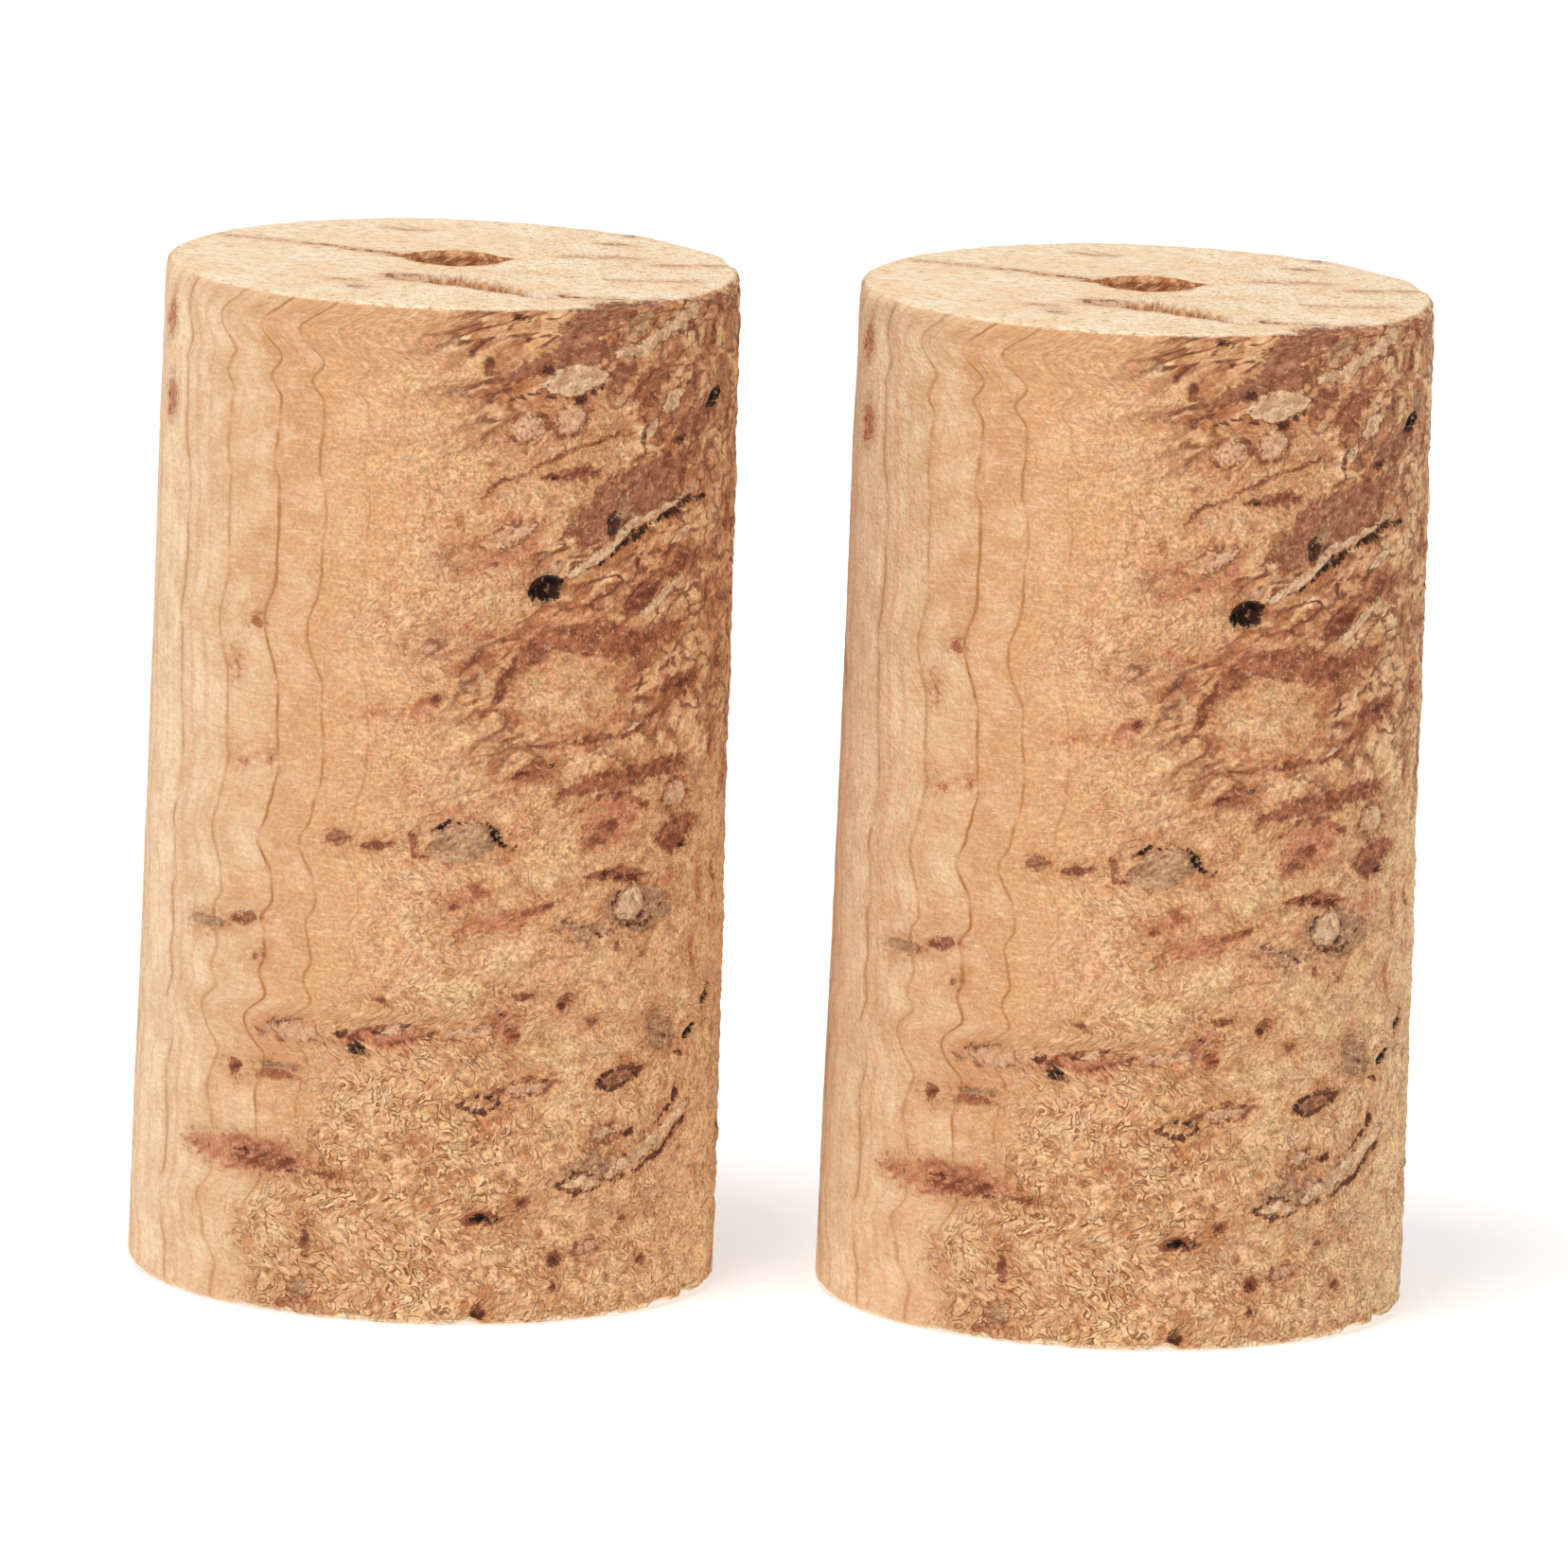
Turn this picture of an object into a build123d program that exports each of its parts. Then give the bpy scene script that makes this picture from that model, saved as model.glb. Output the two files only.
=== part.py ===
from build123d import *
import os

# A salt shaker and a pepper shaker, a matching pair, each turned from one piece of natural cork.
#
# Each shaker is a slightly tapered cork body, bored out from below. A thin plastic liner fills
# the bore and keeps the salt or pepper off the cork. A perforated steel sifter lies in a pocket
# in the liner's crown, under the pour hole, and a soft gasket between it and the cork stops
# grains from creeping sideways. The liner is filled from below, where a push-in plug with an
# O-ring closes it. The plug is recessed, so that the shaker stands on its cork rim.
#
# Frame, in millimetres: +Z is up and the table is Z = 0. The origin is on the table, midway
# between the shakers. Salt stands at -X, pepper at +X, and -Y is the front.

# Cork body
BODY_HEIGHT = 80.0
BASE_RADIUS = 23.05
TOP_RADIUS = 22.4
EDGE_ROUND = 0.8
SPACING = 54.2  # from one shaker's axis to the other's
ROOF_THICKNESS = 8.0
BORE_RADIUS = 16.0

# Pour hole, drilled a little behind the middle of the top
POUR_RADIUS = 3.75
POUR_BACK = 2.0

# Liner
LINER_GAP = 0.1  # between the liner and the cork around and above it
LINER_WALL = 1.2
CROWN_THICKNESS = 2.4
CROWN_FILLET = 1.5
FLANGE_RADIUS = 18.3
FLANGE_THICKNESS = 2.8
FLANGE_GAP = 0.2
BASE_RECESS = 1.2  # how far the flange and the plug stay above the table

# Sifter and its gasket, in a pocket in the liner's crown
SIFTER_RADIUS = 7.5
SIFTER_THICKNESS = 0.5
POCKET_GAP = 0.1
POCKET_LEDGE = 1.2  # crown left under the pocket
THROAT_RADIUS = 6.0
GASKET_HOLE_RADIUS = 4.25
HOLE_RING_RADIUS = 2.3

# Plug and its O-ring
PLUG_HEAD_RADIUS = 16.2
PLUG_HEAD_THICKNESS = 1.0
PLUG_HEAD_GAP = 0.2
PLUG_SEAT_GAP = 0.05
PLUG_BARREL_GAP = 0.3
PLUG_BARREL_LENGTH = 8.0
PLUG_LEAD_IN = 0.8
PLUG_ROOF = 1.2
GRIP_RADIUS = 11.0
GRIP_BAR_WIDTH = 2.6
GRIP_BAR_RECESS = 0.4
GRIP_BAR_ROUND = 0.5
SEAL_WIDTH = 1.5  # a 1.78 mm cord, squeezed into its groove
SEAL_HEIGHT = 2.0
SEAL_GAP = 0.03
SEAL_ROUND = 0.7
SEAL_ABOVE_HEAD = 3.8  # from the top of the plug's head to the middle of the groove
GROOVE_HEIGHT = 2.4
GROOVE_GAP = 0.02

# Heights and radii that follow from the sizes above
BORE_ROOF = BODY_HEIGHT - ROOF_THICKNESS
LINER_RADIUS = BORE_RADIUS - LINER_GAP
LINER_INSIDE = LINER_RADIUS - LINER_WALL
LINER_TOP = BORE_ROOF - LINER_GAP
CROWN_UNDERSIDE = LINER_TOP - CROWN_THICKNESS
FLANGE_TOP = BASE_RECESS + FLANGE_THICKNESS
POCKET_FLOOR = CROWN_UNDERSIDE + POCKET_LEDGE
SIFTER_TOP = POCKET_FLOOR + SIFTER_THICKNESS
PLUG_HEAD_TOP = BASE_RECESS + PLUG_HEAD_THICKNESS
PLUG_SEAT = PLUG_HEAD_TOP + PLUG_SEAT_GAP
PLUG_BARREL_RADIUS = LINER_INSIDE - PLUG_BARREL_GAP
PLUG_TOP = PLUG_HEAD_TOP + PLUG_BARREL_LENGTH
SEAL_OUTSIDE = LINER_INSIDE - SEAL_GAP
SEAL_MIDDLE = PLUG_HEAD_TOP + SEAL_ABOVE_HEAD
GROOVE_RADIUS = SEAL_OUTSIDE - SEAL_WIDTH - GROOVE_GAP

# Where each shaker stands, and the sifter's holes: how many lie round the middle one, and their
# radius. Salt needs many fine holes, and ground pepper needs fewer and wider ones.
SHAKERS = {
    "salt": {"side": -1, "ring_holes": 6, "hole_radius": 0.6},
    "pepper": {"side": 1, "ring_holes": 4, "hole_radius": 0.85},
}


def disc(radius, low, high):
    """A cylinder about Z between two heights."""
    return Pos(0, 0, (low + high) / 2) * Cylinder(radius, high - low)


def cork_body():
    """Tapered cork, bored from below, with a step for the liner's flange and a pour hole in its roof."""
    blank = Pos(0, 0, BODY_HEIGHT / 2) * Cone(BASE_RADIUS, TOP_RADIUS, BODY_HEIGHT)
    blank = fillet(blank.edges().filter_by(GeomType.CIRCLE), EDGE_ROUND)
    bore = disc(BORE_RADIUS, 0, BORE_ROOF)
    flange_step = disc(FLANGE_RADIUS + FLANGE_GAP, 0, FLANGE_TOP)
    pour_hole = Pos(0, POUR_BACK, 0) * disc(POUR_RADIUS, BORE_ROOF, BODY_HEIGHT)
    return blank - bore - flange_step - pour_hole


def liner():
    """Upside-down cup with a flange at its mouth, a seat for the plug's head and a sifter pocket."""
    inside = disc(LINER_INSIDE, 0, CROWN_UNDERSIDE)
    inside = fillet(inside.edges().filter_by(GeomType.CIRCLE).sort_by(Axis.Z)[-1], CROWN_FILLET)
    plug_seat = disc(PLUG_HEAD_RADIUS + PLUG_HEAD_GAP, 0, PLUG_SEAT)
    throat = disc(THROAT_RADIUS, CROWN_UNDERSIDE - CROWN_FILLET, LINER_TOP)
    pocket = disc(SIFTER_RADIUS + POCKET_GAP, POCKET_FLOOR, LINER_TOP)
    cup = disc(LINER_RADIUS, BASE_RECESS, LINER_TOP)
    flange = disc(FLANGE_RADIUS, BASE_RECESS, FLANGE_TOP)
    return cup + flange - inside - plug_seat - Pos(0, POUR_BACK, 0) * (throat + pocket)


def sifter(ring_holes, hole_radius):
    """Thin steel disc with one hole in the middle and a ring of holes round it."""
    plate = disc(SIFTER_RADIUS, POCKET_FLOOR, SIFTER_TOP)
    hole = disc(hole_radius, POCKET_FLOOR, SIFTER_TOP)
    ring = [place * hole for place in PolarLocations(HOLE_RING_RADIUS, ring_holes)]
    return Pos(0, POUR_BACK, 0) * (plate - hole - ring)


def gasket():
    """Soft washer between the sifter and the cork above it."""
    ring = disc(SIFTER_RADIUS, SIFTER_TOP, BORE_ROOF) - disc(GASKET_HOLE_RADIUS, SIFTER_TOP, BORE_ROOF)
    return Pos(0, POUR_BACK, 0) * ring


def plug():
    """Push-in plug: a flat head, a hollow barrel with an O-ring groove, and a bar to pinch it by."""
    head = disc(PLUG_HEAD_RADIUS, BASE_RECESS, PLUG_HEAD_TOP)
    barrel = disc(PLUG_BARREL_RADIUS, BASE_RECESS, PLUG_TOP)
    barrel = chamfer(barrel.edges().filter_by(GeomType.CIRCLE).sort_by(Axis.Z)[-1], PLUG_LEAD_IN)
    groove_low = SEAL_MIDDLE - GROOVE_HEIGHT / 2
    groove_high = SEAL_MIDDLE + GROOVE_HEIGHT / 2
    groove = disc(PLUG_HEAD_RADIUS, groove_low, groove_high) - disc(GROOVE_RADIUS, groove_low, groove_high)
    grip_roof = PLUG_TOP - PLUG_ROOF
    grip = disc(GRIP_RADIUS, BASE_RECESS, grip_roof)
    bar_foot = BASE_RECESS + GRIP_BAR_RECESS
    bar_height = grip_roof - bar_foot
    bar = Pos(0, 0, bar_foot + bar_height / 2) * Box(2 * GRIP_RADIUS, GRIP_BAR_WIDTH, bar_height)
    bar = fillet(bar.faces().sort_by(Axis.Z)[0].edges().filter_by(Axis.X), GRIP_BAR_ROUND)
    return head + barrel - groove - (grip - bar)


def plug_seal():
    """O-ring in the plug's groove, at its squeezed size."""
    middle = SEAL_OUTSIDE - SEAL_WIDTH / 2
    section = Plane.XZ * Pos(middle, SEAL_MIDDLE) * RectangleRounded(SEAL_WIDTH, SEAL_HEIGHT, SEAL_ROUND)
    return revolve(section, Axis.Z)


def shaker(side, ring_holes, hole_radius):
    """The six pieces of one shaker, standing on its side of the pair."""
    pieces = {
        "cork_body": cork_body(),
        "liner": liner(),
        "sifter": sifter(ring_holes, hole_radius),
        "gasket": gasket(),
        "plug": plug(),
        "plug_seal": plug_seal(),
    }
    place = Pos(side * SPACING / 2, 0, 0)
    return {name: place * shape for name, shape in pieces.items()}


os.makedirs("parts", exist_ok=True)
for contents, differences in SHAKERS.items():
    for piece, shape in shaker(**differences).items():
        export_step(shape, f"parts/{contents}_{piece}.step")
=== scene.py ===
import itertools
import math
from collections import namedtuple

import bpy
import numpy as np
from mathutils import Matrix, Vector


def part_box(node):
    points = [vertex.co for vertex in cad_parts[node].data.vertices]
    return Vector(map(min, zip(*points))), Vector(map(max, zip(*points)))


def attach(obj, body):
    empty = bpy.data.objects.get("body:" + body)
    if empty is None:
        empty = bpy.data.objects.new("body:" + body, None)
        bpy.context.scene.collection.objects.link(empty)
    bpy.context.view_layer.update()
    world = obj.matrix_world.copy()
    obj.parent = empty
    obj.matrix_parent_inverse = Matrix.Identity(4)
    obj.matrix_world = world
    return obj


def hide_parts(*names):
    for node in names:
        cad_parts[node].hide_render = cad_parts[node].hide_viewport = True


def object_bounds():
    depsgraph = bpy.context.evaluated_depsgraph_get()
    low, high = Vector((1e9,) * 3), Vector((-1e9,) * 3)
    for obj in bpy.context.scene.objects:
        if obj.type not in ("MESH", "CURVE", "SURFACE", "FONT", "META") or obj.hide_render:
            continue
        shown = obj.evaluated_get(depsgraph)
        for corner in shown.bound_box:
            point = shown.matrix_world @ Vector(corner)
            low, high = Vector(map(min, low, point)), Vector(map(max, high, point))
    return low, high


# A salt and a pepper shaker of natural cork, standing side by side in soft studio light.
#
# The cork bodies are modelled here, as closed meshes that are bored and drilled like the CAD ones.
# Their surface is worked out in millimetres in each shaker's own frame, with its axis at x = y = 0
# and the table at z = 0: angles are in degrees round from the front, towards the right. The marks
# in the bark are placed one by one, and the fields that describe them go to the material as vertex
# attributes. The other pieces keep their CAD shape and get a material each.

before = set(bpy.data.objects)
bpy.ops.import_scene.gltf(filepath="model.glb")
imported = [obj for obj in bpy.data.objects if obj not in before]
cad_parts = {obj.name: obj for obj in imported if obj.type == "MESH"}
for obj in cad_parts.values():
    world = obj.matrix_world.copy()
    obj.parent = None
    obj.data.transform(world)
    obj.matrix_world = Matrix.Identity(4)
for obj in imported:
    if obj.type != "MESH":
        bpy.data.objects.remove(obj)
cad_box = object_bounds()

MM = 0.001

# The camera: how far off, how high, how much it leans, and how wide a strip it sees
CAMERA_DISTANCE = 1.5
CAMERA_ELEVATION = 10.56
CAMERA_ROLL = 2.11
VIEW_WIDTH = 0.123
AIM_RIGHT = 0.17 * MM
AIM_DOWN = 0.45 * MM
SENSOR_WIDTH = 36.0

# The light: soft square lamps, each with its place, width, power in watts and colour; how strongly the
# surroundings light the shakers, and how bright they are to look at
LAMPS = {
    "key": ((-0.3, -0.4, 1.55), 0.5, 12.6, (1.0, 0.985, 0.96)),
    "left_fill": ((-0.8, -1.15, 0.4), 0.8, 2.7, (1.0, 1.0, 1.0)),
    "right_fill": ((0.8, -1.15, 0.4), 0.8, 4.5, (1.0, 1.0, 1.0)),
}
SURROUNDINGS_LIGHT = 0.5
SURROUNDINGS_SEEN = 1.0

# The floor: half its width, how far it lies under the shakers, its grey, and its glow near and far
FLOOR_HALF = 3.0
FLOOR_DROP = 0.02 * MM
FLOOR_GREY = 0.75
FLOOR_GLOW_NEAR = 0.45
FLOOR_GLOW_FAR = 1.0

# The mesh of a cork body: its columns, and how far apart its rows are in mm, or in degrees at an edge
COLUMNS = 480
ROW_STEPS = {
    "edge": 18, "side": 0.3, "top": 0.33, "hole": 0.6, "roof": 1.2,
    "bore": 3, "ledge": 0.9, "mouth": 0.7, "base": 0.36,
}
TOP_TAPER = 0.65  # from the base's radius to the top's
TOP_EDGE_ROUND = 0.7
BASE_EDGE_ROUND = 0.7
POUR_RADIUS = 3.75
FLANGE_REACH = 2.3  # how far the liner's flange stands out from the bore's wall
FLANGE_GAP = 0.2
LEDGE_HEIGHT = 4.0

# Growth rings: sheets through the cork, whose normal is turned a little to the front. Each is its
# place along that normal and how strong its line is. They all waver together, and each part of the
# waver is a height and how far to the right the rings stand there.
RING_TURN = -18.0
RINGS = (
    (-26.5, 0.4), (-21.0, 0.55), (-15.6, 0.6), (-10.8, 0.5), (-6.3, 1.0), (-2.4, 0.85), (1.2, 0.45),
    (4.8, 0.3), (8.2, 0.3), (11.5, 0.3), (14.6, 0.3), (17.5, 0.3), (20.2, 0.3), (23.0, 0.3),
)
RING_WAVER = (
    (0.0, 0.9), (2.8, 1.4), (5.5, -0.1), (8.0, -1.3), (10.3, 0.4), (17.0, -0.4), (20.0, 0.4),
    (23.0, -1.8), (25.0, 0.3), (26.5, -0.4), (28.3, 0.3), (31.2, -0.2), (32.6, 0.7), (34.2, 0.5),
    (37.3, -0.9), (39.5, 0.0), (43.3, 0.8), (49.0, 0.5), (54.3, -1.0), (58.0, 0.1), (65.0, 0.2),
    (66.6, -0.3), (71.9, 0.0), (73.5, -1.0), (75.0, 0.0), (77.4, -2.4), (80.0, 0.7),
)

# Near the bark, streaks run through the cork: along the rings' normal, and rising by this angle
FLOW_TILT = 22.0

# How many pores lie on the sides that face away
HIDDEN_PORES = 110

# What the marks are made of: how much of the cork each stuff covers, how strong the painted shade along
# its edge is, and the lighter and the darker of its two colours. Each stuff is one vertex attribute of its
# own.
STUFFS = {
    "rust": (0.80, 0.0, (206, 140, 104), (176, 104, 74)),
    "lilac": (0.80, 0.7, (218, 174, 138), (198, 150, 114)),
    "mauve": (0.90, 0.7, (172, 114, 84), (126, 74, 50)),
    "bark": (0.92, 0.3, (170, 102, 70), (112, 58, 38)),
    "grey": (0.80, 0.5, (192, 152, 116), (142, 106, 78)),
    "pale": (0.80, 0.8, (232, 198, 158), (192, 152, 114)),
    # dark: painted shade in pits, slits and cracks
    "dark": (0.95, 0.0, (112, 58, 40), (58, 28, 20)),
    # the near-black stuff: painted black shade deep in pits and cracks
    "char": (1.00, 0.0, (76, 46, 32), (26, 14, 9)),
}

# An oval in the cork, or a pointed lens if it is slim: its middle, as degrees round and height on the
# side, or as x and y on the top; its length, width and tilt; how deep it goes, or stands out if that
# is negative; and how soft its edge is.
Spot = namedtuple("Spot", "stuff across up length width tilt depth edge", defaults=(0.3,))
# Only the outline of such an oval, and how thick the outline is.
Outline = namedtuple("Outline", "stuff across up length width tilt depth thick")
# A band along a few points, each (across, up, half width).
Band = namedtuple("Band", "stuff depth points edge")


def spots(stuff, *rows):
    """Spots of one stuff, each from a row of its other values."""
    return [Spot(stuff, *row) for row in rows]


def outlines(stuff, *rows):
    """Outlines of one stuff, each from a row of its other values."""
    return [Outline(stuff, *row) for row in rows]


def band(stuff, depth, *points, edge=0.3):
    """A band of one stuff through the points."""
    return Band(stuff, depth, points, edge)


SIDE_MARKS = (
    # the left, where the cork is sound
    *spots("rust", (-74, 76, 3, 2, 60, 0.1), (-72, 69.7, 3.2, 2.2, 60, 0.15), (-40, 43.2, 0.9, 0.6, 0, 0.1),
        (-33.5, 43.6, 1.6, 0.7, 10, 0.15), (-43, 50.5, 0.6, 1, 0, 0.05),
        (-36, 12.3, 14, 2.8, 1, 0.25, 0.4)),
    *spots("bark", (-38, 54, 0.9, 0.8, 0, 0.15), (-36, 28, 0.8, 0.6, 0, 0.15),
        (-38.5, 30.7, 3.6, 0.9, 8, 0.25), (-40, 19, 1.4, 1.3, 0, 0.4), (-30, 18.9, 4.6, 0.8, 4, 0.35),
        (-32, 12, 7, 1.5, 2, 0.2, 0.6), (-22, 6, 1, 2.4, 0, 0.3), (-27, 0.8, 1, 1.2, 0, 0.25)),
    *spots("grey", (-49, 29.9, 4.8, 0.9, 4, 0.2), (-29, 19.6, 4.2, 0.7, 2, 0.25),
        (-23, 2.3, 1.7, 1.7, 0, 0.05)),
    *spots("dark", (-38, 12.4, 1.4, 0.4, 0, 0.4), (-25, 11.4, 1.4, 0.4, 0, 0.4)),
    *outlines("bark", (-23, 2.3, 2.4, 2.4, 0, 0.25, 0.25)),
    band("bark", 0.1, (-22, 11.4, 0.25), (-8, 11.3, 0.05)),
    # a row of decayed pores across the lower middle
    *spots("rust", (-8, 22.6, 8, 2, 0, 0.2, 0.6), (17, 23.8, 2.8, 2.8, 0, 0.25, 0.6)),
    *spots("lilac", (-26, 22.4, 7, 1.5, 0, 0.1, 0.6), (8.5, 23.2, 5, 1.1, 3, 0.1)),
    *spots("bark", (18, 23, 1.2, 1.2, 0, 0.4), (19, 26, 2.2, 0.7, 0, 0.3), (28.5, 25.5, 1.7, 1.2, 30, 0.5),
        (35, 23.7, 0.9, 0.7, 0, 0.3), (-9, 25.8, 0.9, 0.5, 0, 0.25)),
    *spots("pale", (-6, 23.2, 2.2, 0.7, 10, 0)),
    *spots("dark", (-16, 22.9, 1.6, 0.6, 20, 0.6), (-9.5, 22.9, 1.2, 0.5, 0, 0.5),
        (-3.5, 23.5, 1.8, 0.4, 15, 0.5), (0.5, 22.5, 1.2, 0.5, 0, 0.4), (16, 24.4, 0.8, 0.5, 0, 0.4),
        (28, 25.2, 0.7, 0.5, 0, 0.6)),
    *spots("char", (-13, 21.7, 1.9, 1.1, 0, 0.9)),
    *outlines("bark", (-6, 22.9, 6.6, 1.5, 4, 0.4, 0.35)),
    # the middle
    *spots("rust", (-2, 48.7, 3.4, 1.3, 25, 0.2), (-11, 47.9, 3.6, 0.4, 5, 0.1),
        (9, 34.4, 2.4, 1.7, 10, 0.2, 0.5), (5.5, 33.3, 1.6, 1.3, 0, 0.25, 0.5), (16, 32, 9, 1.5, 14, 0.25),
        (8, 54.8, 3.4, 1, -15, 0.1)),
    *spots("mauve", (-18, 38.1, 1.6, 1.2, 10, 0.2)),
    *spots("bark", (0.5, 49.3, 1, 0.9, 0, 0.25), (-10, 37.8, 3.4, 0.8, 0, 0.2),
        (9.5, 34.4, 1.4, 0.8, 0, 0.25), (5.5, 33.1, 0.8, 0.6, 0, 0.3), (22, 32.8, 4, 0.7, 14, 0.3)),
    *spots("grey", (7, 38.2, 5.8, 3, 8, -0.15), (32, 31, 5, 1.6, -12, 0.1, 1.2)),
    band("char", 0.8, (1, 39.2, 0.3), (3.5, 39.8, 0.25), (8, 39.9, 0.05), (12.2, 39.8, 0.05)),
    band("char", 0.9, (12.4, 39.6, 0.15), (13.2, 38.8, 0.45), (14.2, 38, 0.25), (17.5, 37.9, 0.05)),
    band("bark", 0.4, (-3.5, 38.8, 0.35), (-2.5, 37.4, 0.3), (0.5, 36.7, 0.1)),
    band("dark", 0.3, (24, 31.7, 0.08), (28, 31.9, 0.15), (37, 30.3, 0.1)),
    # the lower right
    *spots("rust", (-2, 14.5, 0.9, 0.6, 0, 0.15)),
    *spots("lilac", (20.5, 18.8, 4.6, 1, 9, 0.2), (35, 5.8, 2.8, 1, 12, 0.15)),
    *spots("mauve", (42, 19.1, 4.2, 1.1, 8, 0.4)),
    *spots("bark", (11, 15.8, 0.8, 0.6, 0, 0.3), (21, 9.8, 1.5, 1.2, 0, 0.4), (12.5, 8.5, 3.8, 1.2, 2, 0.4),
        (28, 5, 1.5, 1.6, 15, 0.5), (44, 8, 0.9, 0.8, 0, 0.35), (28, 2.8, 1, 0.8, 0, 0.4),
        (49, 4.2, 1.1, 0.9, 0, 0.35)),
    *spots("grey", (36, 12.2, 7, 1.8, 12, 0.05, 1.2), (53, 22.2, 4.4, 2.6, -35, 0.2, 0.8)),
    *spots("pale", (39, 14.6, 2.4, 1, 4, -0.05), (33, 10.9, 4, 0.9, 4, -0.05)),
    *spots("dark", (46.5, 19.5, 0.7, 1.1, 0, 0.6), (45, 14.8, 1, 0.8, 0, 0.5), (59, 16.8, 1.1, 1.5, 0, 0.5),
        (21, 9.7, 0.8, 0.6, 0, 0.6), (28, 4.8, 0.7, 0.5, 0, 0.6), (13, 0.9, 1.2, 1.6, 0, 0.45),
        (55, 21.6, 1.2, 0.5, -35, 0.35), (60, 20.2, 1.6, 0.6, 0, 0.5)),
    *spots("char", (13, 8.4, 3, 0.7, 2, 0.8), (72, 24, 3.2, 0.9, 35, 0.9), (64, 21.7, 2.2, 0.8, 25, 0.7)),
    *outlines("bark", (20.5, 18.8, 5.2, 1.4, 9, 0.4, 0.36), (39, 14.6, 3.2, 1.6, 4, 0.25, 0.3),
        (35, 5.8, 3.4, 1.4, 12, 0.3, 0.25)),
    *outlines("dark", (42, 19.1, 4.8, 1.5, 8, 0.6, 0.45), (12, 17.6, 3.6, 1.3, 2, 0.5, 0.4),
        (33, 10.9, 4.8, 1.4, 4, 0.3, 0.28)),
    band("pale", -0.12, (39, 11.5, 0.25), (45, 12.3, 0.65), (52, 13.6, 0.75), (58, 14.8, 0.6),
        (64, 16, 0.3)),
    band("dark", 0.5, (40, 10.8, 0.06), (48, 11.5, 0.2), (55, 12.8, 0.25), (60, 14, 0.3), (64, 15.2, 0.1)),
    band("dark", 0.4, (41, 12.2, 0.05), (50, 14.3, 0.1), (57, 16.2, 0.25)),
    # the eye, and what lies round it
    *spots("rust", (53, 34.2, 5, 1, 10, 0.15, 0.5), (38, 39.4, 7.4, 3.6, 24, 0.15, 0.8)),
    *spots("lilac", (49.5, 33, 1.6, 0.9, 0, 0.1)),
    *spots("mauve", (45, 56.9, 4.4, 1.5, 22, 0.5)),
    *spots("bark", (41, 35.1, 6.8, 1.4, -3, 0.3), (40, 29.4, 0.9, 0.7, 0, 0.3),
        (47, 28.8, 0.8, 0.7, 0, 0.3), (36, 38.6, 3.8, 1.8, 30, 0.2, 0.6), (57, 37.8, 7, 2.8, 10, 0.2, 0.6),
        (20, 43.7, 4.2, 1.5, 12, 0.25, 0.5), (57, 49.6, 6.4, 1.8, 5, 0.25, 0.5),
        (44, 56.8, 5.2, 2.2, 22, 0.35)),
    *spots("grey", (46, 32.4, 7, 3.8, -5, 0.1, 0.5)),
    *spots("pale", (43.5, 32.7, 2.9, 2.7, 0, -0.12), (56, 40.9, 2.8, 1.9, 10, -0.05),
        (43, 46.9, 3.2, 0.5, 25, -0.08)),
    *spots("dark", (43, 34.9, 3.6, 0.6, 4, 0.4), (38, 35.2, 2.6, 0.5, 0, 0.5),
        (60, 36.9, 2.4, 0.5, 20, 0.4), (18, 43.5, 1.6, 0.5, 10, 0.5), (24, 44.1, 1.4, 0.5, 30, 0.4),
        (58, 49.4, 2.2, 0.6, 10, 0.5), (43, 57.3, 2.6, 0.6, 30, 0.6)),
    *outlines("rust", (27, 49.9, 10.4, 7, -12, 0.1, 0.35)),
    *outlines("bark", (56, 40.9, 3.4, 2.4, 10, 0.3, 0.35)),
    *outlines("dark", (43.5, 32.7, 3.4, 3.2, 0, 0.3, 0.24)),
    band("dark", 0.2, (42, 31.1, 0.1), (47, 30.9, 0.14), (51, 31.5, 0.14), (53, 32.4, 0.12)),
    band("bark", 0.2, (30, 40.2, 0.1), (35, 41.4, 0.25), (41, 41.6, 0.2), (47, 40.4, 0.3)),
    band("bark", 0.15, (26, 41.8, 0.4), (34, 42.6, 0.9), (45, 43, 0.8), (57, 43.4, 0.9), edge=0.5),
    band("bark", 0.25, (16, 45.6, 0.15), (28, 45.9, 0.2), (41, 46.2, 0.3), (51, 47.9, 0.3), edge=0.25),
    band("bark", 0.18, (10, 48.4, 0.25), (15, 51.6, 0.6), (23, 54, 1), (34, 54.2, 1.25), (45, 53.2, 1),
        (55, 54.2, 0.7), edge=0.5),
    band("rust", 0.1, (15, 53.4, 0.15), (21, 54.9, 0.2), (28, 56, 0.2)),
    band("pale", -0.08, (44, 55.4, 0.25), (50, 56.6, 0.45), (56, 58, 0.3)),
    # the pit, painted black as shade, and the streak that runs up from it
    *spots("mauve", (43, 64.8, 14, 5, 20, 0.1, 1)),
    *spots("bark", (57, 59, 6, 2, 15, 0.15, 0.8)),
    *spots("grey", (23, 59.6, 3, 0.8, 20, 0), (39, 63.6, 1.4, 3, -12, 0)),
    *spots("pale", (56, 61.4, 3.4, 1.2, 20, -0.05)),
    *spots("dark", (52, 60.3, 2.6, 0.5, 25, 0.5)),
    *spots("char", (22, 58.1, 3.2, 2.3, 12, 1.6), (37, 62.8, 1.4, 2, -10, 0.4)),
    band("mauve", 0.1, (30, 61.6, 0.5), (38, 64.4, 1.1), (48, 66, 1), (60, 67.6, 0.8), edge=0.5),
    band("pale", -0.15, (27, 59.1, 0.3), (34, 60.5, 0.5), (42, 62.7, 0.4), (52, 64, 0.3), (63, 65, 0.2)),
    band("char", 0.7, (30, 59.2, 0.05), (36, 60.2, 0.15), (42, 61.8, 0.45), (47, 62.6, 0.2),
        (54, 63.3, 0.4), (60, 64.2, 0.3), (65, 63.7, 0.2)),
    # the upper right
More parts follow.
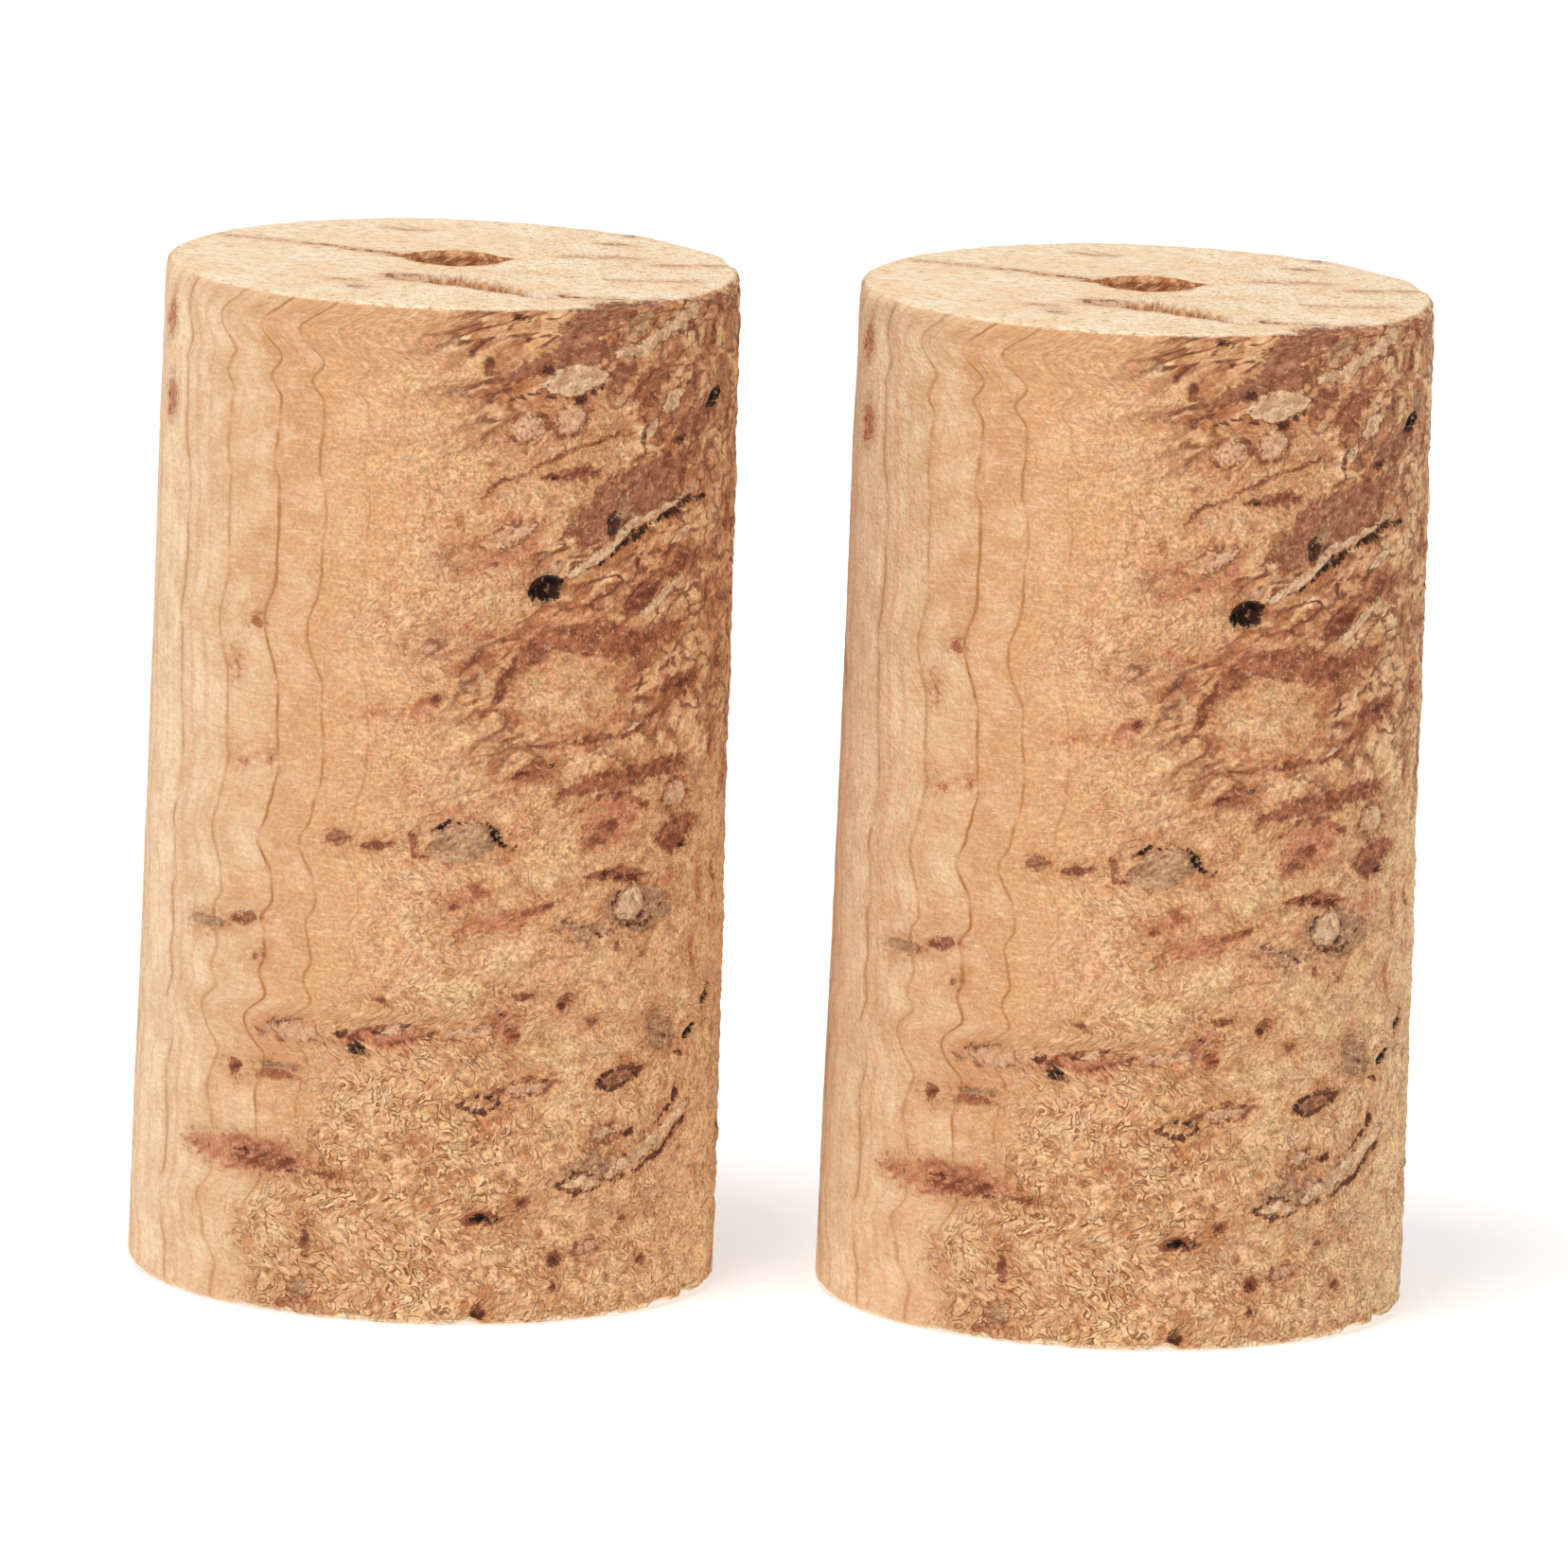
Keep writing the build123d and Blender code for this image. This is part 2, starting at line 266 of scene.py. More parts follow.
    *spots("lilac", (17, 70.7, 3.2, 2, 0, 0, 0.5), (26, 71.2, 2.8, 1.9, 20, 0, 0.5),
        (14, 62.2, 5.2, 1.5, 18, 0, 0.5)),
    *spots("mauve", (29.5, 78.7, 7.4, 2.8, 38, 0.12, 0.4), (36, 79.3, 4, 1.6, 10, 0.3, 0.3),
        (38, 74.3, 3, 1.8, 40, 0.15, 0.5), (60, 70, 7.2, 2.2, 18, 0.2, 0.6), (30, 67.1, 2.4, 1.3, 0, 0.3)),
    *spots("bark", (46, 73.6, 5.4, 2.6, 30, 0.15, 0.8), (70, 79, 1.4, 2.6, 20, 0.5),
        (66, 76.5, 3, 1, 60, 0.15, 0.5), (27, 67, 5.6, 1.1, 8, 0.35), (49, 67.2, 4, 0.6, 20, 0.15)),
    *spots("grey", (41, 78.2, 3.8, 1.8, 38, 0.05), (70, 73, 2.4, 1.6, 30, 0, 0.5)),
    *spots("pale", (27, 74.3, 6.2, 2.6, 8, -0.1), (52, 72, 2.8, 1.7, 30, -0.05),
        (46, 70.3, 1.6, 1.2, 20, -0.05)),
    *spots("dark", (21, 75.1, 1.1, 0.8, 0, 0.5), (28, 72.6, 2.2, 0.7, 20, 0.45),
        (15.5, 73.1, 2.6, 0.45, 10, 0.5), (55, 68.9, 1.8, 0.7, 10, 0.6), (22, 66.7, 1.6, 0.4, 0, 0.4)),
    *spots("char", (15, 79.3, 1.5, 0.8, 0, 0.4), (67, 71.4, 2.2, 1.2, 35, 0.7)),
    *outlines("rust", (14, 62.2, 6, 2.3, 18, 0.15, 0.25)),
    *outlines("bark", (41, 78.2, 4.4, 2.4, 38, 0.15, 0.3), (17, 70.7, 3.6, 2.4, 0, 0.15, 0.22),
        (26, 71.2, 3.4, 2.4, 20, 0.2, 0.25)),
    band("mauve", 0.15, (12, 74.6, 0.25), (18, 75.3, 0.8), (26, 76.2, 0.9), (33, 76.4, 0.8), edge=0.4),
    band("pale", -0.12, (36, 76.2, 0.3), (42, 76.2, 0.5), (50, 78, 0.6), (58, 79, 0.6)),
    band("dark", 0.4, (13, 72.9, 0.12), (19, 73.3, 0.15), (24, 73, 0.1), (30, 72.9, 0.2), (36, 74.4, 0.12)),
    band("bark", 0.2, (8, 65, 0.15), (11, 66.4, 0.2), (24, 68.4, 0.2), (38, 70, 0.2), edge=0.25),
    band("rust", 0.15, (5, 59.4, 0.25), (12, 60.4, 0.35), (20, 61.3, 0.25)),
    # pores that run down the right-hand limb
    *spots("rust", (66, 33, 1, 3.4, 0, 0.15), (64, 28, 0.8, 2.6, 0, 0.15)),
    *spots("bark", (66, 56, 0.8, 3, 0, 0.25), (73, 51, 0.9, 2.6, 5, 0.2), (70, 44, 0.9, 3.2, -5, 0.2),
        (77, 62, 1, 3.6, 0, 0.25), (74, 34, 0.8, 2, 10, 0.25)),
)

# Patches of sound cork among the streaks near the bark
SOUND_PATCHES = spots("sound", (17, 66.5, 17, 9.5, 22, 0), (27, 49.9, 10, 6.6, -12, 0), (22, 39, 7, 8, 0, 0),
    (9, 57, 8, 6, 10, 0))

TOP_MARKS = (
    *spots("rust", (-4, 16, 3, 0.8, -8, 0.15)),
    *spots("lilac", (-3.2, -8, 3.6, 3, -20, 0.25, 0.6)),
    *spots("bark", (13.9, 16.6, 0.6, 0.8, 0, 0.2), (-8.4, -10, 1.6, 0.5, -10, 0.25),
        (-7.2, -13, 0.6, 0.9, 0, 0.25), (12.5, 12, 2.2, 0.7, -10, 0.2)),
    band("bark", 0.8, (-19.5, 10.6, 0.12), (-12.8, 7.5, 0.14), (-9.7, 6.1, 0.3), (-6.3, 4.4, 0.25),
        (-3.4, 2.9, 0.5), edge=0.2),
    band("sound", 1.7, (-1.9, -8.1, 0.8), (-0.2, -8.6, 2.2), (1.8, -9.9, 1.9), (4.2, -12.4, 1.2),
        (6.4, -14.8, 0.5), (8, -15.2, 0.35), edge=0.25),
    # Painted shadow: a dark-brown band of bark inside the void, along its near edge
    band("bark", 0, (-1.9, -8.2, 0.5), (-0.2, -8.7, 1.9), (1.8, -10, 1.6), (4.2, -12.5, 0.9),
        (6.4, -14.9, 0.25), (8, -15.3, 0.15), edge=0.25),
    band("bark", 0.5, (9, -14.6, 0.5), (10.6, -15, 0.25), (13.4, -15.2, 0.2), edge=0.25),
    band("rust", 0.15, (16, 2.2, 0.05), (19, 2.5, 0.1), (22.4, 3, 0.15), edge=0.2),
    band("rust", 0.15, (12.6, -6.2, 0.05), (16.5, -5.5, 0.1), (19, -5, 0.1), edge=0.2),
    band("rust", 0.15, (8.6, 5, 0.05), (12, 5.6, 0.12), (14, 5.2, 0.05), edge=0.2),
    band("mauve", 0.35, (11.6, -18.6, 0.5), (13.8, -16.8, 0.7), (16.2, -15, 0.5), edge=0.4),
)


# --- Random fields, in millimetres ---

# Large odd numbers that scatter a cell's three numbers and the seed, and one that mixes the result
CELL_FACTORS = (73856093, 19349663, 83492791)
SEED_FACTOR = 2654435761
MIXING_FACTOR = 1274126177


def random_at(cells, seed):
    """One steady random number from -1 to 1 for each whole-numbered cell."""
    mixed = np.bitwise_xor.reduce(cells * CELL_FACTORS, axis=-1) ^ seed * SEED_FACTOR
    mixed = (mixed ^ (mixed >> 13)) * MIXING_FACTOR & 0xFFFFFFFF
    mixed ^= mixed >> 16
    return (mixed & 0xFFFF) / 32767.5 - 1.0


def smooth_noise(points, seed):
    """Smooth noise from -1 to 1, with bumps about one unit across."""
    cells = np.floor(points).astype(np.int64)
    part = points - cells
    part = part * part * (3 - 2 * part)
    total = np.zeros(points.shape[:-1])
    for corner in itertools.product((0, 1), repeat=3):
        weight = np.prod(np.where(corner, part, 1 - part), axis=-1)
        total += weight * random_at(cells + np.array(corner), seed)
    return total


def fractal(points, size, octaves, seed):
    """Smooth noise from about -1 to 1, with bumps that size in mm and finer ones on top."""
    total = np.zeros(points.shape[:-1])
    for octave in range(octaves):
        total += smooth_noise(points / size * 2**octave, seed + octave) / 2**octave
    return total / 1.5


def crumbs(points, size, seed):
    """A random number for the crumb that each point lies in, and its distance in mm from the crumb's edge."""
    scaled = points / size
    cells = np.floor(scaled).astype(np.int64)
    nearest = np.full(points.shape[:-1], 9.0)
    second = nearest.copy()
    value = np.zeros(points.shape[:-1])
    for step in itertools.product((-1, 0, 1), repeat=3):
        cell = cells + np.array(step)
        middle = cell + 0.5 + 0.45 * np.stack([random_at(cell, seed + k) for k in (1, 2, 3)], axis=-1)
        away = np.linalg.norm(scaled - middle, axis=-1)
        closer = away < nearest
        second = np.where(closer, nearest, np.minimum(second, away))
        value = np.where(closer, random_at(cell, seed), value)
        nearest = np.minimum(nearest, away)
    return value, (second - nearest) * size / 2


def ease(value, low, high):
    """0 below low, 1 above high, and a smooth step in between."""
    part = np.clip((value - low) / (high - low), 0, 1)
    return part * part * (3 - 2 * part)


# --- Marks ---


def oval_distance(across, up, length, width, tilt):
    """Distance in mm outside an oval about the origin, or a pointed lens if it is slim. Negative inside."""
    turn = math.radians(tilt)
    along = across * math.cos(turn) + up * math.sin(turn)
    beside = np.abs(up * math.cos(turn) - across * math.sin(turn))
    half, thick = length / 2, width / 2
    if width > length / 2:
        return (np.hypot(along / half, beside / thick) - 1) * min(half, thick)
    inside = beside - thick * np.clip(1 - (along / half) ** 2, 0, None)
    past_tip = np.clip(np.abs(along) - half, 0, None)
    return np.where(past_tip > 0, np.hypot(past_tip, beside), inside)


def band_distance(across, up, points):
    """Distance in mm outside a band along points, each (across, up, half width). Negative inside."""
    nearest = np.full(across.shape, 99.0)
    for (x0, y0, r0), (x1, y1, r1) in zip(points, points[1:]):
        dx, dy = x1 - x0, y1 - y0
        part = np.clip(((across - x0) * dx + (up - y0) * dy) / (dx * dx + dy * dy), 0, 1)
        away = np.hypot(across - x0 - part * dx, up - y0 - part * dy) - r0 - part * (r1 - r0)
        nearest = np.minimum(nearest, away)
    return nearest


def mark_distance(mark, across, up, arc_per_degree):
    """Distance outside a mark. across is in degrees on the side, where arc_per_degree makes it mm."""
    if isinstance(mark, Band):
        points = [(x * arc_per_degree, y, half) for x, y, half in mark.points]
        return band_distance(across * arc_per_degree, up, points)
    near = (across - mark.across) * arc_per_degree, up - mark.up
    away = oval_distance(*near, mark.length, mark.width, mark.tilt)
    return np.abs(away) - mark.thick / 2 if isinstance(mark, Outline) else away


def draw_marks(marks, across, up, arc_per_degree, fields, share):
    """Adds marks to the stuffs' fields, and returns how deep they go. share is how much each point shows.

    A stuff's field is 0 at the edge of a mark and counts up inwards in units of the edge's softness.
    A mark of sound cork has no stuff, only depth.
    """
    depth = np.zeros(across.shape)
    for mark in marks:
        away = mark_distance(mark, across, up, arc_per_degree)
        if mark.stuff != "sound":
            inside = np.clip(-away / getattr(mark, "edge", 0.3), -2, 2) * share - 2 * (1 - share)
            fields[mark.stuff] = np.maximum(fields[mark.stuff], inside)
        if mark.stuff not in ("sound", "pale"):
            fields["stain"] = np.maximum(fields["stain"], share * ease(-away, -1.6, 0.3))
        sunk = mark.depth * ease(-away, -0.1, 0.6)
        depth = np.where(np.abs(sunk) > np.abs(depth), sunk, depth)
    return depth * share


def hidden_marks(seed):
    """Pores for the sides that face away: rods along the rings' normal, cut by the surface."""
    random = np.random.default_rng(seed)
    marks = []
    for _ in range(HIDDEN_PORES):
        angle = 80 + 202 * random.beta(1.2, 2.0)
        height = random.uniform(1.5, 78.5)
        length = 1.5 + random.gamma(2.0, 1.7)
        width = random.uniform(0.6, 1.7)
        run = length * math.cos(math.radians(angle + RING_TURN))
        rise = length * random.normal(0.25, 0.1)
        tilt = math.degrees(math.atan2(rise, run))
        seen = max(math.hypot(run, rise), width)
        stuff = random.choice(("bark", "bark", "rust", "rust", "mauve", "mauve", "grey", "char"))
        soft = random.choice((0.3, 0.5, 0.8))
        marks.append(Spot(stuff, angle, height, seen, width, tilt, random.uniform(0.1, 0.5), soft))
        # Half of the pores get a near-black core: painted shade deep inside them
        if random.random() < 0.5:
            marks.append(Spot("char", angle + random.uniform(-3, 3), height, 0.5 * seen, 0.6, tilt, 0.6))
    return marks


# --- The cork bodies' meshes ---

# One ring of vertices: its radius and height, which way it faces (degrees up from outwards), how far
# its middle is moved back to the pour hole's, and how much it belongs to the side, the top, the
# hole's wall and the base.
Row = namedtuple("Row", "radius height facing shift side top hole base", defaults=(0, 0, 0, 0))


def steps(start, end, part):
    """Numbers from start towards end, as far apart as the rows on that part, leaving out end."""
    count = max(1, round(abs(end - start) / ROW_STEPS[part]))
    return [start + (end - start) * i / count for i in range(count)]


def round_edge(turn, radius, size):
    """On a rounded edge: a row's radius, its height over the rounding's middle, and its share of side."""
    out, up = math.cos(math.radians(turn)), math.sin(math.radians(turn))
    return radius - size * (1 - out), size * up, out**2


def body_rows(sizes):
    """The closed outline of a cork body, from its lower edge up the side, over the top, down the pour
    hole, out under the roof, down the bore and back across the base."""
    base, top, height = sizes["base_radius"], sizes["top_radius"], sizes["height"]
    roof, bore, mouth, ledge = sizes["roof"], sizes["bore"], sizes["mouth"], sizes["ledge"]
    rim, foot = top - TOP_EDGE_ROUND, base - BASE_EDGE_ROUND
    rows = []
    for turn in steps(-90, 0, "edge"):
        r, z, share = round_edge(turn, base, BASE_EDGE_ROUND)
        rows.append(Row(r, BASE_EDGE_ROUND + z, turn, 0, side=share, base=1 - share))
    for z in steps(BASE_EDGE_ROUND, height - TOP_EDGE_ROUND, "side"):
        rows.append(Row(base + (top - base) * z / height, z, 0, 0, side=1))
    for turn in steps(0, 90, "edge"):
        r, z, share = round_edge(turn, top, TOP_EDGE_ROUND)
        rows.append(Row(r, height - TOP_EDGE_ROUND + z, turn, 0, side=share, top=1 - share))
    for r in steps(rim, POUR_RADIUS, "top"):
        rows.append(Row(r, height, 90, (rim - r) / (rim - POUR_RADIUS), top=1))
    rows += [Row(POUR_RADIUS, z, 180, 1, hole=1) for z in steps(height, roof, "hole")]
    rows += [Row(r, roof, -90, (bore - r) / (bore - POUR_RADIUS)) for r in steps(POUR_RADIUS, bore, "roof")]
    rows += [Row(bore, z, 180, 0) for z in steps(roof, ledge, "bore")]
    rows += [Row(r, ledge, -90, 0) for r in steps(bore, mouth, "ledge")]
    rows += [Row(mouth, z, 180, 0) for z in steps(ledge, 0, "mouth")]
    rows += [Row(r, 0, -90, 0, base=1) for r in steps(mouth, foot, "base")]
    return rows


def ring_place(x, y, z):
    """How far each point is along the rings' normal, in mm, with the rings' waver taken out."""
    turn = math.radians(RING_TURN)
    waver = np.zeros(z.shape)
    for (low, start), (high, end) in zip(RING_WAVER, RING_WAVER[1:]):
        waver += (end - start) * ease(z, low, high)
    waver = (waver + RING_WAVER[0][1]) * (0.35 + 0.65 * ease(x, -21, -14))
    return (x - waver) * math.cos(turn) + y * math.sin(turn)


def rest_shape(sizes):
    """A cork body without relief: its rows' values, and each vertex's degrees round, place and normal."""
    rows = body_rows(sizes)
    table = {name: np.array([getattr(row, name) for row in rows], float)[:, None] for name in Row._fields}
    angle = np.linspace(0, 2 * math.pi, COLUMNS, endpoint=False)[None, :]
    degrees = np.degrees((angle + math.pi) % (2 * math.pi) - math.pi) + 0 * table["radius"]
    x = table["radius"] * np.sin(angle)
    y = table["shift"] * sizes["pour_back"] - table["radius"] * np.cos(angle)
    z = table["height"] + 0 * angle
    facing = np.radians(table["facing"])
    level = np.cos(facing)
    normal = np.stack([level * np.sin(angle), -level * np.cos(angle), np.sin(facing) + 0 * angle], axis=-1)
    return table, degrees, np.stack([x, y, z], axis=-1), normal


def mark_fields(table, degrees, place, arc_per_degree, seed):
    """A field for every stuff and for the stain round the marks, and how deep the marks go."""
    x, y, z = np.moveaxis(place, -1, 0)
    side, top = table["side"] + 0 * x, table["top"] + 0 * x
    fields = {stuff: np.full(x.shape, -2.0) for stuff in STUFFS}
    fields["stain"] = np.zeros(x.shape)
    bend, lift = fractal(place, 1.6, 2, 21), fractal(place, 1.6, 2, 31)
    across, up = degrees + 0.35 * bend / arc_per_degree, z + 0.35 * lift
    depth = draw_marks(SIDE_MARKS, across, up, arc_per_degree, fields, side)
    across = degrees % 360 + 0.45 * bend / arc_per_degree
    depth += draw_marks(hidden_marks(seed), across, up, arc_per_degree, fields, side)
    depth += draw_marks(TOP_MARKS, x + 0.3 * bend, y + 0.3 * lift, 1.0, fields, top)
    return fields, depth


def growth_fields(degrees, place, arc_per_degree):
    """Each point's place in the grain; how rough, torn and decayed the cork is there; and how pale it is
    made, by bleaching of the cork and by painted light on the right-hand limb.
    """
    x, y, z = np.moveaxis(place, -1, 0)
    along = ring_place(x, y, z) + 0.5 * fractal(place, 7.0, 3, 5) + 0.12 * fractal(place, 0.9, 2, 6)
    along += 0.35 * fractal(place, 2.4, 2, 8) * ease(z, 34, 22)
    turn = math.radians(RING_TURN)
    grain = np.stack([along, y * math.cos(turn) - x * math.sin(turn), z], axis=-1)
    ring_places, ring_lines = zip(*RINGS)
    ring = np.interp(along, ring_places, np.arange(len(RINGS)))
    line = np.interp(along, ring_places, ring_lines)

    reach = 7.0 * ease(z, 28, 8) - 3.0 * ease(z, 44, 60)
    rough = ease(along + reach + 5.0 * fractal(place, 5.0, 4, 11), -3.5, 6.5)
    round_back = degrees % 360
    height = z + (4 + 8 * ease(round_back, 75, 110)) * fractal(place, 9.0, 2, 13)
    # The right-hand side is made paler: partly bleaching of the cork, partly painted light on the limb. The
    # lower right is bleaching alone.
    right = ease(round_back, 44, 68) * ease(round_back, 150, 110)
    low_right = ease(along, 12, 18) * ease(z + 3 * fractal(place, 6.0, 2, 15), 42, 34)
    bleached_and_painted_light = np.maximum(0.5 * low_right, right * (0.35 + 0.65 * ease(height, 50, 40)))

    decay = ease(along + 2.5 * fractal(place, 6.0, 2, 14), 4.5, 12) * (0.25 + 0.75 * ease(height, 36, 50))
    uneven = 1.2 * fractal(place, 3.0, 2, 19)
    for patch in SOUND_PATCHES:
        decay *= 0.15 + 0.85 * ease(mark_distance(patch, degrees, z, arc_per_degree) + uneven, -1.0, 1.0)
    decay *= 1 - 0.25 * right
    torn = rough * (0.5 + 0.5 * ease(z, 32, 14)) * (1 - 0.6 * decay) * (1 - 0.3 * low_right)
    torn *= 0.65 + 0.35 * ease(fractal(place, 5.0, 2, 17), -0.35, 0.35)
    fields = {"ring": ring, "line": line, "rough": rough, "torn": torn, "decay": decay, "bleached_and_painted_light": bleached_and_painted_light}
    return grain, fields


def torn_relief(place):
    """Crumbs and curled flakes where the cork was torn rather than cut, in mm."""
    bent = place + 0.6 * np.stack([fractal(place, 1.6, 1, seed) for seed in (51, 52, 53)], axis=-1)
    crumb, edge = crumbs(bent, 1.5, 55)
    small, small_edge = crumbs(bent + 7, 0.75, 65)
    grit = fractal(place, 0.8, 2, 61)
    return 0.11 * crumb * ease(edge, 0.0, 0.25) + 0.10 * small * ease(small_edge, 0.0, 0.12) + 0.12 * grit


def cork_relief(table, place, grain, fields, depth):
    """How far each vertex stands out along its normal, in mm."""
    side, top, hole, base = (table[name] for name in ("side", "top", "hole", "base"))
    rough = fields["rough"]
    torn = torn_relief(place)
    # The crumbs' height, kept for the painted light and shade on them
    fields["crumb"] = torn * 8 * side * rough
    waves = 0.10 * fractal(place, 13.0, 2, 41) + 0.06 * fractal(place, 4.0, 2, 43)
    spacing = np.abs(fields["ring"] - np.round(fields["ring"])) * 4.0
    crease = -0.05 * np.exp(-((spacing / 0.25) ** 2)) * (1 - rough)
    on_side = waves + (0.12 + 0.88 * rough) * torn + crease
    sawn = grain * np.array([0.33, 1.0, 1.0])
    on_top = 0.09 * fractal(sawn, 1.3, 3, 71) + 0.05 * fractal(place, 0.8, 1, 73) - 0.04
    on_base = 0.05 * fractal(sawn, 1.6, 3, 75) - 0.03
    in_hole = 0.25 * fractal(place * np.array([1.0, 1.0, 0.5]), 0.9, 2, 81)
    pitted = depth * (1 + 0.35 * fractal(place, 0.7, 2, 91))
    return side * on_side + top * on_top + base * on_base + hole * in_hole - pitted


def worn_edges(table, place, rough):
    """How much of the top and bottom edges has crumbled away, in mm. The rough side is worn more."""
    side, height, radius = table["side"], table["height"], table["radius"]
    edge = 4 * (side * (1 - side))
    ragged = fractal(place, 2.2, 3, 101)
    top_wear, base_wear = 0.08 + (0.12 + 0.2 * rough) * ragged, 0.2 + (0.2 + 0.35 * rough) * ragged
    worn = edge * np.where(height < 5, base_wear, top_wear)
    rim = radius.max() - BASE_EDGE_ROUND
    foot = side * ease(height, 2.0, 0.5) + table["base"] * ease(radius, rim - 1.2, rim)
    return worn + (0.05 + 0.5 * rough) * foot * ease(fractal(place, 1.4, 2, 103), 0.0, 0.6)


def open_hole(table, place, sizes):
    """How far the pour hole's lip is moved outwards, where it has split: a long tip on the left, a short
    one on the right."""
    angle = np.arctan2(place[..., 0], -(place[..., 1] - sizes["pour_back"]))
    left = np.exp(-(((angle + math.pi / 2 + 0.05) / 0.16) ** 2))
    right = np.exp(-(((angle - math.pi / 2 - 0.15) / 0.2) ** 2))
    ragged = 0.3 * fractal(place, 1.2, 2, 111)
    near_lip = table["top"] * ease(table["radius"], POUR_RADIUS + 2.5, POUR_RADIUS)
    down_hole = table["hole"] * ease(sizes["height"] - table["height"], 3.5, 0.5)
    reach = (1.5 * left + 0.9 * right + ragged) * (near_lip + down_hole)
    return np.stack([np.sin(angle) * reach, -np.cos(angle) * reach, 0 * reach], axis=-1)


def torus_faces(rows, columns):
    """Quads of a grid that closes on itself both ways."""
    i, j = np.meshgrid(np.arange(rows), np.arange(columns), indexing="ij")
    after, beside = (i + 1) % rows, (j + 1) % columns
    corners = (i * columns + j, i * columns + beside, after * columns + beside, after * columns + j)
    return np.stack(corners, axis=-1).reshape(-1, 4)


def add_attribute(mesh, name, kind, key, values):
    """Gives the mesh a value at each vertex for its material to read."""
    attribute = mesh.attributes.new(name, kind, "POINT")
    attribute.data.foreach_set(key, np.ascontiguousarray(values, dtype=np.float32).ravel())


def body_sizes(node, liner, gasket):
    """A cork body's sizes in mm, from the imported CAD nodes."""
    low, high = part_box(node)
    flange_low, flange_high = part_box(liner)
    pocket_low, pocket_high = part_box(gasket)
    base_radius = (high.x - low.x) / 2 / MM
    flange_radius = (flange_high.x - flange_low.x) / 2 / MM
    return {
        "centre": (low.x + high.x) / 2,
        "height": high.z / MM,
        "base_radius": base_radius,
        "top_radius": base_radius - TOP_TAPER,
        "pour_back": (pocket_low.y + pocket_high.y) / 2 / MM,
        "roof": pocket_high.z / MM,
        "bore": flange_radius - FLANGE_REACH,
        "mouth": flange_radius + FLANGE_GAP,
        "ledge": LEDGE_HEIGHT,
    }


def cork_piece(name, sizes, material, seed):
    """One shaker's cork body, as a closed mesh with its fields as vertex attributes."""
    table, degrees, place, normal = rest_shape(sizes)
    arc_per_degree = math.radians(sizes["base_radius"] + sizes["top_radius"]) / 2
    grain, fields = growth_fields(degrees, place, arc_per_degree)
    marks, depth = mark_fields(table, degrees, place, arc_per_degree, seed)
    fields.update(marks, depth=np.clip(depth, 0, None))
    fields["end"] = table["top"] + table["base"] + 0 * depth
    fields["cut"] = table["hole"] + 0 * depth
    relief = cork_relief(table, place, grain, fields, depth) - worn_edges(table, place, fields["rough"])
    vertices = place + normal * relief[..., None] + open_hole(table, place, sizes)
    vertices[..., 2] = np.maximum(vertices[..., 2], 0.0)
    vertices = vertices.reshape(-1, 3) * MM + np.array([sizes["centre"], 0, 0])

    mesh = bpy.data.meshes.new(name)
    mesh.from_pydata(vertices.tolist(), [], torus_faces(*depth.shape).tolist())
    mesh.shade_smooth()
    add_attribute(mesh, "grain", "FLOAT_VECTOR", "vector", grain)
    for field, values in fields.items():
        add_attribute(mesh, field, "FLOAT", "value", values)
    mesh.materials.append(material)
    piece = bpy.data.objects.new(name, mesh)
    bpy.context.scene.collection.objects.link(piece)
    return piece


# --- Materials ---


def colour(red, green, blue):
    """A shader colour from the values from 0 to 255 that a screen would show."""
    parts = [value / 255 for value in (red, green, blue)]
    return (*(part / 12.92 if part <= 0.04045 else ((part + 0.055) / 1.055) ** 2.4 for part in parts), 1.0)


